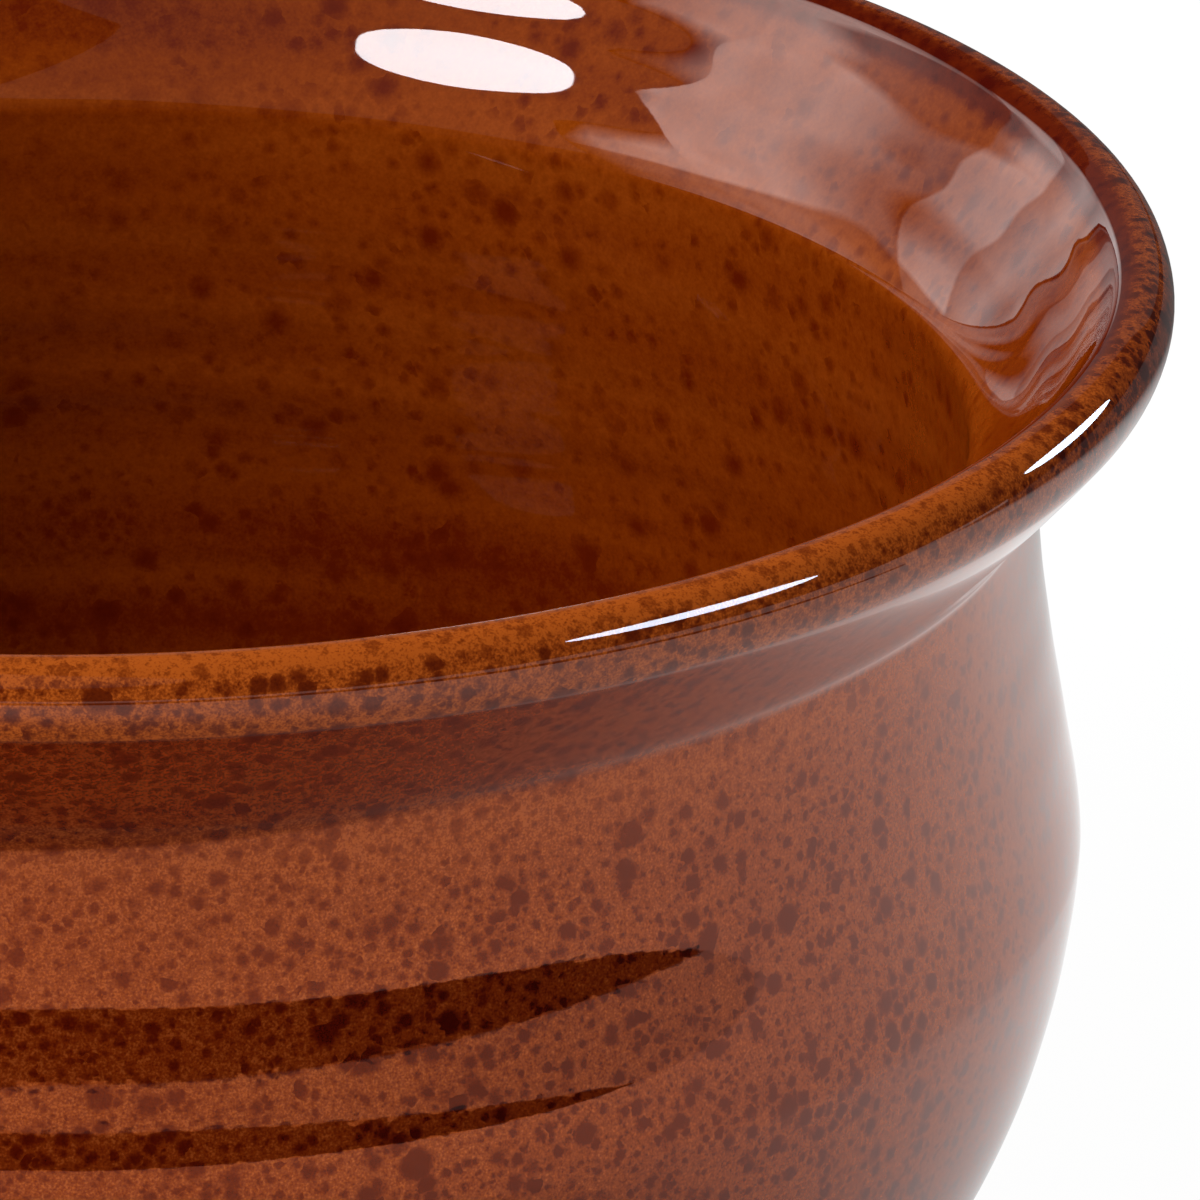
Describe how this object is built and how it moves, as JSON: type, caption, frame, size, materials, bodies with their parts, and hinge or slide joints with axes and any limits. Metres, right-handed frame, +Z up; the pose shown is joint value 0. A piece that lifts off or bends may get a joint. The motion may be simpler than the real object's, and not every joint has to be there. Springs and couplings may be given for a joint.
{
  "type": "cereal bowl",
  "caption": "Round glazed stoneware cereal bowl with a rolled flaring lip, drawn-in neck, soft shoulder ridge and bare turned foot ring.",
  "frame": {"origin": "middle of the foot ring, on the surface that the bowl stands on", "axes": "+Z up along the axis that the bowl was thrown on"},
  "size_m": [0.14, 0.14, 0.078],
  "materials": {
    "bare_clay": "bare fired stoneware",
    "glaze": "glossy speckled brown glaze"
  },
  "bodies": {
    "root": {"stoneware_body": "bare_clay", "inside_glaze": "glaze", "outside_glaze": "glaze", "foot_well_glaze": "glaze"}
  },
  "joints": []
}
